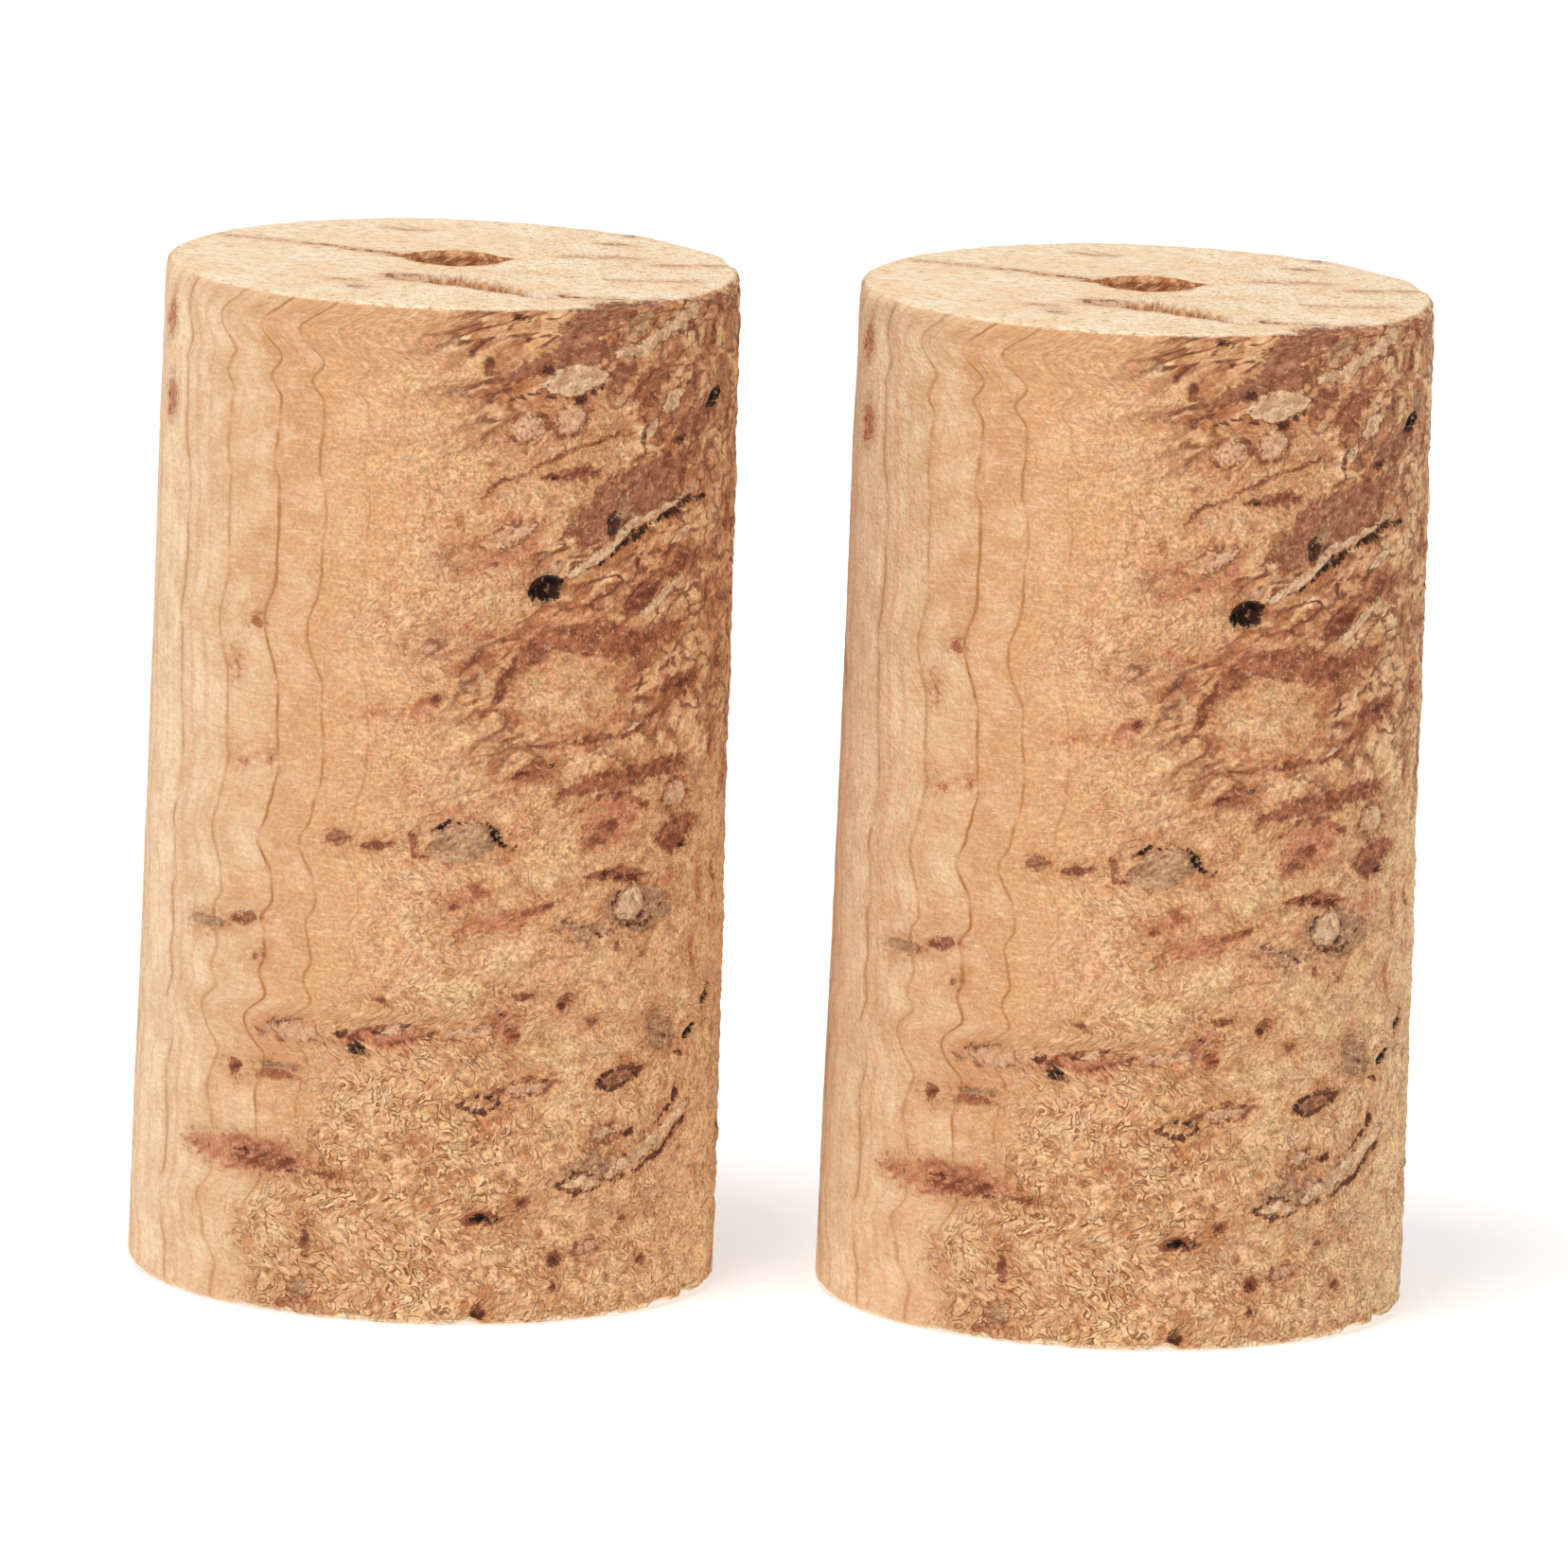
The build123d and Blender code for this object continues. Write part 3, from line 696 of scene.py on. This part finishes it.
class Shader:
    """Short ways to add nodes to a new material."""

    def __init__(self, name):
        self.material = bpy.data.materials.new(name)
        self.material.use_nodes = True
        self.tree = self.material.node_tree
        self.surface = self.tree.nodes["Principled BSDF"]

    def put(self, value, socket):
        """Links value to a socket, or sets it there if it is a plain number or colour."""
        if isinstance(value, bpy.types.NodeSocket):
            self.tree.links.new(value, socket)
        else:
            socket.default_value = value

    def node(self, kind, inputs, output=0, **settings):
        """Adds a node with those settings and inputs, and returns one of its outputs."""
        node = self.tree.nodes.new(kind)
        for name, value in settings.items():
            setattr(node, name, value)
        for socket, value in inputs.items():
            self.put(value, node.inputs[socket])
        return node.outputs[output]

    def look(self, values):
        """Gives the surface's own sockets their values."""
        for socket, value in values.items():
            self.put(value, self.surface.inputs[socket])

    def maths(self, operation, a, b=0.0):
        return self.node("ShaderNodeMath", {0: a, 1: b}, operation=operation)

    def vectors(self, operation, inputs, output=0):
        return self.node("ShaderNodeVectorMath", inputs, output, operation=operation)

    def times(self, first, *others):
        """The product of all the values."""
        for other in others:
            first = self.maths("MULTIPLY", first, other)
        return first

    def read(self, name, output="Fac"):
        """A field of the mesh."""
        return self.node("ShaderNodeAttribute", {}, output, attribute_name=name)

    def object_place(self, scale):
        """The place on the piece, times scale."""
        place = self.node("ShaderNodeTexCoord", {}, "Object")
        return self.vectors("SCALE", {0: place, "Scale": scale})

    def stretch(self, vector, x, y, z):
        return self.vectors("MULTIPLY", {0: vector, 1: (x, y, z)})

    def rotate(self, vector, degrees):
        """Turns a vector about its second axis."""
        inputs = {"Vector": vector, "Angle": math.radians(degrees)}
        return self.node("ShaderNodeVectorRotate", inputs, rotation_type="Y_AXIS")

    def noise(self, vector, scale, detail=2.0, roughness=0.5, distortion=0.0):
        inputs = {"Vector": vector, "Scale": scale, "Detail": detail, "Roughness": roughness}
        return self.node("ShaderNodeTexNoise", {**inputs, "Distortion": distortion})

    def line_noise(self, value, scale, detail=2.0):
        inputs = {"W": value, "Scale": scale, "Detail": detail}
        return self.node("ShaderNodeTexNoise", inputs, noise_dimensions="1D")

    def warp(self, vector, scale, amount):
        """Moves vector about by up to half of amount, smoothly."""
        noise = self.node("ShaderNodeTexNoise", {"Vector": vector, "Scale": scale}, "Color")
        return self.vectors("MULTIPLY_ADD", {0: noise, 1: (amount, amount, amount), 2: vector})

    def cell_edges(self, vector, scale):
        """How far each point is from the edge of the cell that it lies in."""
        inputs = {"Vector": vector, "Scale": scale}
        return self.node("ShaderNodeTexVoronoi", inputs, feature="DISTANCE_TO_EDGE")

    def step(self, value, low, high, end=1.0, start=0.0):
        """A smooth step from start to end as value goes from low to high."""
        inputs = dict(enumerate((value, low, high, start, end)))
        return self.node("ShaderNodeMapRange", inputs, interpolation_type="SMOOTHSTEP")

    def mix(self, share, a, b):
        return self.node("ShaderNodeMix", {0: share, 6: a, 7: b}, 2, data_type="RGBA")

    def blend(self, share, light, dark):
        """From one screen colour to another as share goes from 0 to 1."""
        return self.mix(share, colour(*light), colour(*dark))

    def tint(self, base, screen_colour, *shares):
        """base with a screen colour mixed in, by the product of the shares."""
        return self.mix(self.times(*shares), base, colour(*screen_colour))

    def speckle(self, noise, spread, base):
        """Makes base lighter and darker by up to spread, following noise."""
        signed = self.times(self.step(noise, 0.3, 0.7, 1.0, start=-1.0), spread)
        return self.vectors("SCALE", {0: base, "Scale": self.maths("ADD", signed, 1.0)})

    def bump(self, height, distance):
        """Sets the surface's bump. distance is how far a height of 1 stands out, in metres."""
        inputs = {"Strength": 1.0, "Distance": distance, "Height": height}
        self.put(self.node("ShaderNodeBump", inputs), self.surface.inputs["Normal"])


def cork_colour(shader, grain):
    """Sound cork: paler on the left, ticked across, banded along and lined by growth rings."""
    ring = shader.read("ring")
    mottle = shader.step(shader.noise(grain, 0.3, 4.0, 0.6), 0.3, 0.7, 0.3, start=-0.25)
    warmth = shader.maths("ADD", shader.step(ring, 0.5, 5.5, 1.0, start=0.02), mottle)
    base = shader.blend(warmth, (250, 220, 182), (211, 160, 114))
    # Bleaching of the cork, and painted light on the right-hand limb
    base = shader.tint(base, (246, 206, 156), shader.read("bleached_and_painted_light"), 0.85)

    smooth = shader.step(shader.read("rough"), 0.0, 0.8, 0.1, start=1.0)
    early = shader.step(shader.maths("FRACT", ring), 0.7, 0.0, 0.3)
    base = shader.tint(base, (220, 162, 114), early, smooth)
    bands = shader.line_noise(ring, 6.0, 3.0)
    base = shader.tint(base, (220, 166, 120), shader.step(bands, 0.48, 0.68, 0.4), smooth)

    patches = shader.noise(grain, 0.35, 3.0, 0.6)
    worn = shader.step(ring, 4.0, 8.0)
    base = shader.tint(base, (222, 156, 112), shader.step(patches, 0.52, 0.66, 0.6), worn)
    base = shader.tint(base, (234, 194, 138), shader.step(patches, 0.48, 0.34, 0.6), worn)

    ticks = shader.noise(shader.stretch(grain, 0.7, 1.2, 5.0), 1.0, 3.0, 0.6)
    base = shader.tint(base, (202, 146, 98), shader.step(ticks, 0.52, 0.70, 0.35))
    base = shader.tint(base, (250, 222, 186), shader.step(ticks, 0.48, 0.30, 0.35))

    nearest = shader.maths("ABSOLUTE", shader.maths("SUBTRACT", ring, shader.maths("ROUND", ring)))
    wobble = shader.step(shader.noise(grain, 0.45, 3.0), 0.34, 0.58, 1.0, start=0.25)
    strength = shader.times(wobble, smooth, shader.read("line"))
    base = shader.tint(base, (205, 150, 96), shader.step(nearest, 0.16, 0.0, 0.25), strength)
    return shader.tint(base, (176, 120, 66), shader.step(nearest, 0.055, 0.010), strength)


def cork_streaks(shader, flow, base):
    """Reddish and pale streaks that flow through the cork near the bark, with dark seams between them."""
    decay = shader.read("decay")
    wide = shader.noise(flow, 0.45, 3.0, 0.5, 0.8)
    fine = shader.noise(shader.stretch(flow, 1.0, 1.0, 1.5), 1.0, 2.0, 0.55)
    red = shader.blend(shader.step(fine, 0.4, 0.6), (192, 128, 88), (142, 80, 52))
    base = shader.mix(shader.times(shader.step(wide, 0.46, 0.53, 0.95), decay), base, red)
    base = shader.tint(base, (242, 200, 150), shader.step(wide, 0.43, 0.38, 0.9), decay)
    base = shader.tint(base, (166, 98, 62), shader.step(fine, 0.56, 0.63, 0.55), decay)
    base = shader.tint(base, (234, 186, 138), shader.step(fine, 0.43, 0.35, 0.6), decay)
    seams = shader.step(shader.cell_edges(shader.warp(flow, 0.9, 1.2), 0.55), 0.11, 0.03)
    return shader.tint(base, (106, 54, 36), seams, shader.step(fine, 0.38, 0.50), decay)


def cork_crumbs(shader, grain, level, base):
    """Torn crumbs where the cork is rough: curled edges with a painted highlight along each edge and a
    painted brown shadow under it.
    """
    torn = shader.read("torn")
    # Painted shade in dips and painted light on tops, following noise rather than the mesh's relief
    crumb_light_and_shade = shader.noise(grain, 0.8, 3.0, 0.6)
    deep, high = shader.step(crumb_light_and_shade, 0.48, 0.64), shader.step(crumb_light_and_shade, 0.48, 0.34)
    base = shader.tint(base, (180, 120, 72), deep, shader.step(torn, 0.0, 1.0, 0.75, start=0.1))
    base = shader.tint(base, (234, 194, 144), high, shader.step(torn, 0.0, 1.0, 0.5))
    # Curled edges: a painted brown shadow at the foot of each step and a painted highlight along its top edge
    part = shader.maths("FRACT", level)
    share = shader.times(torn, shader.step(shader.noise(grain, 1.3, 2.0), 0.40, 0.58))
    shadow = shader.times(shader.step(part, 0.50, 0.80), shader.step(part, 0.99, 0.86))
    base = shader.tint(base, (142, 82, 46), shadow, share)
    lip = shader.times(shader.step(part, 0.0, 0.06, 0.8), shader.step(part, 0.40, 0.14))
    base = shader.tint(base, (248, 212, 162), lip, share)
    # Painted light on the raised crumbs of the mesh, and painted shade in the dips between them
    relief = shader.read("crumb")
    base = shader.tint(base, (246, 208, 160), shader.step(relief, 0.4, 1.5, 0.5))
    return shader.tint(base, (174, 110, 66), shader.step(relief, -0.3, -1.3, 0.7))


def cork_marks(shader, grain, flow, grit, base):
    """Decayed and stained stuff on top of the sound cork, with ragged edges, and painted shade along the
    marks' edges and in their pits and cracks.
    """
    stained = shader.read("stain")
    bite = shader.times(shader.maths("SUBTRACT", shader.noise(grain, 1.4, 5.0, 0.7), 0.5), 4.5)
    blotch = shader.noise(shader.stretch(flow, 1.5, 1.5, 1.5), 1.0, 4.0, 0.65)
    cover = shader.step(grit, 0.68, 0.58, 1.0, start=0.4)
    base = shader.tint(base, (190, 124, 78), shader.step(blotch, 0.35, 0.65, 0.75, start=0.15), stained)
    broken = shader.step(shader.noise(grain, 0.8, 2.0), 0.42, 0.56)
    for stuff, (most, rim, light, dark) in STUFFS.items():
        tone = shader.blend(shader.step(blotch, 0.38, 0.62), light, dark)
        field = shader.maths("ADD", shader.read(stuff), bite)
        base = shader.mix(shader.times(shader.step(field, -0.1, 0.35, most), cover), base, tone)
        # Painted shade along the edge of the mark, broken up by noise
        if rim:
            outline = shader.step(shader.maths("ABSOLUTE", field), 0.45, 0.1, rim)
            base = shader.tint(base, (104, 56, 34), outline, broken)
    flecks = shader.noise(grain, 1.9, 3.0, 0.6)
    base = shader.tint(base, (230, 182, 136), shader.step(flecks, 0.58, 0.66, 0.45), stained)
    return shader.tint(base, (116, 62, 42), shader.step(flecks, 0.43, 0.35, 0.6), stained)


def sawn_ends(shader, grain, base):
    """The sawn top and base: pale, with short torn fibres that lie across the rings."""
    fibres = shader.noise(shader.stretch(grain, 0.5, 1.0, 1.0), 2.0, 4.0, 0.7)
    blotch = shader.step(shader.noise(grain, 0.2, 3.0, 0.6), 0.35, 0.65)
    sawn = shader.blend(blotch, (255, 236, 208), (250, 220, 182))
    sawn = shader.tint(sawn, (236, 196, 146), shader.step(fibres, 0.48, 0.58, 0.6))
    sawn = shader.tint(sawn, (208, 152, 100), shader.step(fibres, 0.57, 0.64, 0.8))
    return shader.mix(shader.step(shader.read("end"), 0.4, 0.95), base, sawn)


def drilled_cork(shader, grain, base):
    """The hole's wall and the inside of every deep mark: freshly broken cork, in shreds."""
    shreds = shader.step(shader.noise(grain, 1.3, 4.0, 0.65), 0.4, 0.6)
    broken = shader.blend(shreds, (244, 188, 136), (184, 114, 70))
    deep = shader.step(shader.read("depth"), 0.1, 0.6, 0.85)
    return shader.mix(shader.maths("MAXIMUM", shader.read("cut"), deep), base, broken)


def cork_material():
    """Natural cork, coloured by the fields on its mesh and by noise that follows its grain."""
    shader = Shader("natural_cork")
    grain, torn = shader.read("grain", "Vector"), shader.read("torn")
    flow = shader.stretch(shader.rotate(grain, FLOW_TILT), 0.22, 0.7, 1.0)
    grit = shader.noise(grain, 2.4, 3.0, 0.55)
    level = shader.times(shader.noise(grain, 0.7, 2.5, 0.55, 0.4), 7.0)
    base = cork_colour(shader, grain)
    base = cork_streaks(shader, flow, base)
    base = cork_crumbs(shader, grain, level, base)
    base = sawn_ends(shader, grain, base)
    base = drilled_cork(shader, grain, base)
    base = cork_marks(shader, grain, flow, grit, base)
    # Random lighter and darker grains, stronger towards the rough side, where they also paint the crumbs'
    # fine highlights and shade
    spread = shader.step(shader.read("ring"), 3.0, 8.5, 0.25, start=0.07)
    spread = shader.maths("SUBTRACT", spread, shader.times(shader.read("decay"), 0.09))
    shader.look({
        "Base Color": shader.speckle(shader.noise(grain, 3.6, 2.0), spread, base),
        "Roughness": shader.step(grit, 0.2, 0.8, 0.97, start=0.82),
        "Specular IOR Level": 0.25,
        "Sheen Weight": 0.05,
        "Sheen Roughness": 0.4,
        "Sheen Tint": (1.0, 0.84, 0.64, 1.0),
    })

    fine = shader.noise(shader.stretch(grain, 0.7, 1.2, 4.0), 1.8, 3.0, 0.6)
    height = shader.maths("ADD", grit, shader.times(fine, 0.35))
    rise = shader.step(shader.maths("FRACT", level), 0.7, 1.0)
    terraces = shader.maths("ADD", shader.maths("FLOOR", level), rise)
    flakes = shader.times(terraces, shader.step(torn, 0.0, 1.0, 0.6, start=0.05))
    shader.bump(shader.maths("ADD", height, flakes), 0.3 * MM)
    return shader.material


def moulded_plastic(name, light, dark):
    """Natural polypropylene: milky, with faint flow marks, a fine mould texture and a few scuffs."""
    shader = Shader(name)
    place = shader.object_place(1 / MM)
    flow = shader.noise(shader.stretch(place, 1.0, 1.0, 0.3), 0.18, 3.0, 0.5, 0.6)
    scuffs = shader.noise(shader.stretch(place, 3.0, 0.4, 1.0), 1.2, 4.0, 0.7)
    base = shader.blend(shader.step(flow, 0.3, 0.7), light, dark)
    shader.look({
        "Base Color": shader.tint(base, (196, 190, 176), shader.step(scuffs, 0.62, 0.75, 0.25)),
        "Roughness": shader.step(scuffs, 0.3, 0.75, 0.6, start=0.38),
        "Subsurface Weight": 0.15,
        "Subsurface Radius": (1.2 * MM, 1.1 * MM, 0.9 * MM),
    })
    shader.bump(shader.noise(place, 5.0, 2.0), 0.02 * MM)
    return shader.material


def rolled_steel():
    """Stainless sheet with its rolling lines, and duller smears where fingers and grains have rubbed it."""
    shader = Shader("rolled_steel")
    place = shader.object_place(1 / MM)
    lines = shader.noise(shader.stretch(place, 0.2, 9.0, 1.0), 1.5, 3.0, 0.6)
    smears = shader.noise(place, 0.35, 3.0, 0.6)
    base = shader.blend(shader.step(lines, 0.35, 0.65), (206, 204, 200), (176, 174, 170))
    shader.look({
        "Base Color": shader.tint(base, (158, 150, 140), shader.step(smears, 0.5, 0.75, 0.3)),
        "Metallic": 1.0,
        "Roughness": shader.step(smears, 0.3, 0.7, 0.42, start=0.26),
    })
    shader.bump(lines, 0.01 * MM)
    return shader.material


def silicone(name, light, dark):
    """Soft silicone: matt and slightly dusty, with a little lint and mould grain."""
    shader = Shader(name)
    place = shader.object_place(1 / MM)
    dust = shader.noise(place, 1.1, 4.0, 0.65)
    base = shader.blend(shader.step(dust, 0.35, 0.7), light, dark)
    shader.look({"Base Color": base, "Roughness": shader.step(dust, 0.3, 0.7, 0.72, start=0.5)})
    shader.bump(shader.noise(place, 4.0, 2.0), 0.02 * MM)
    return shader.material


def finish_cad_nodes():
    """Gives every CAD node that stays in view the material of its slot."""
    looks = {
        "liner": moulded_plastic("liner_plastic", (238, 236, 226), (228, 224, 210)),
        "sifter": rolled_steel(),
        "gasket": silicone("gasket_silicone", (222, 219, 208), (204, 199, 186)),
        "plug": moulded_plastic("plug_plastic", (234, 230, 216), (222, 216, 198)),
        "plug_seal": silicone("seal_silicone", (156, 150, 142), (132, 126, 118)),
    }
    for shaker in ("salt", "pepper"):
        for piece, material in looks.items():
            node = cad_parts[f"{shaker}_{piece}"]
            node.data.materials.clear()
            node.data.materials.append(material)


# --- Camera, light and floor ---


def add_camera():
    """A long lens a little above the shakers, leaning slightly to the left."""
    low, high = cad_box
    middle = (low + high) / 2
    rise, lean = math.radians(CAMERA_ELEVATION), math.radians(CAMERA_ROLL)
    back = Vector((0, -math.cos(rise), math.sin(rise)))
    right = Vector((1, 0, 0))
    up = back.cross(right)
    aim = middle + right * AIM_RIGHT - up * AIM_DOWN
    data = bpy.data.cameras.new("camera")
    data.sensor_width = SENSOR_WIDTH
    data.lens = SENSOR_WIDTH * CAMERA_DISTANCE / VIEW_WIDTH
    data.clip_end = 100
    camera = bpy.data.objects.new("camera", data)
    turned_up = up * math.cos(lean) - right * math.sin(lean)
    turned_right = right * math.cos(lean) + up * math.sin(lean)
    turn = Matrix((turned_right, turned_up, back)).transposed().to_4x4()
    camera.matrix_world = Matrix.Translation(aim + back * CAMERA_DISTANCE) @ turn
    bpy.context.scene.collection.objects.link(camera)
    bpy.context.scene.camera = camera


def add_lamp(name, place, size, power, tint):
    """A soft square lamp that points at the middle of the shakers."""
    low, high = cad_box
    data = bpy.data.lights.new(name, "AREA")
    data.size = size
    data.energy = power
    data.color = tint
    lamp = bpy.data.objects.new(name, data)
    lamp.location = place
    lamp.rotation_euler = ((low + high) / 2 - Vector(place)).to_track_quat("-Z", "Y").to_euler()
    bpy.context.scene.collection.objects.link(lamp)


def add_light():
    """A soft key from the upper left, a low fill from either side, and white surroundings."""
    world = bpy.data.worlds.new("studio")
    world.use_nodes = True
    nodes, links = world.node_tree.nodes, world.node_tree.links
    nodes["Background"].inputs["Color"].default_value = (1, 1, 1, 1)
    seen = nodes.new("ShaderNodeMapRange")
    seen.inputs["To Min"].default_value = SURROUNDINGS_LIGHT
    seen.inputs["To Max"].default_value = SURROUNDINGS_SEEN
    links.new(nodes.new("ShaderNodeLightPath").outputs["Is Camera Ray"], seen.inputs["Value"])
    links.new(seen.outputs[0], nodes["Background"].inputs["Strength"])
    bpy.context.scene.world = world
    for name, (place, size, power, tint) in LAMPS.items():
        add_lamp(name, place, size, power, tint)


def add_floor():
    """A plain pale floor. It is open from below, so that the shakers' undersides can be looked at."""
    mesh = bpy.data.meshes.new("floor")
    corners = [(x * FLOOR_HALF, y * FLOOR_HALF, -FLOOR_DROP) for x, y in ((-1, -1), (1, -1), (1, 1), (-1, 1))]
    mesh.from_pydata(corners, [], [(0, 1, 2, 3)])
    shader = Shader("floor")
    away = shader.vectors("LENGTH", {0: shader.object_place(1.0)}, "Value")
    shader.look({
        "Base Color": (FLOOR_GREY, FLOOR_GREY, FLOOR_GREY, 1),
        "Roughness": 0.9,
        "Emission Color": (1, 1, 1, 1),
        "Emission Strength": shader.step(away, 0.5, 2.5, FLOOR_GLOW_FAR, start=FLOOR_GLOW_NEAR),
    })
    below = shader.node("ShaderNodeNewGeometry", {}, "Backfacing")
    clear = shader.node("ShaderNodeBsdfTransparent", {})
    open_below = shader.node("ShaderNodeMixShader", {0: below, 1: shader.surface.outputs[0], 2: clear})
    shader.put(open_below, shader.tree.nodes["Material Output"].inputs["Surface"])
    mesh.materials.append(shader.material)
    floor = bpy.data.objects.new("floor", mesh)
    bpy.context.scene.collection.objects.link(floor)


# --- The whole scene ---

bpy.context.scene.view_settings.view_transform = "Standard"
add_camera()
add_light()
add_floor()
cork = cork_material()
for shaker, seed in (("salt", 7), ("pepper", 8)):
    sizes = body_sizes(f"{shaker}_cork_body", f"{shaker}_liner", f"{shaker}_gasket")
    body = cork_piece(f"{shaker}_cork", sizes, cork, seed)
    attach(body, f"{shaker}_shaker")
    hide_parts(f"{shaker}_cork_body")
finish_cad_nodes()
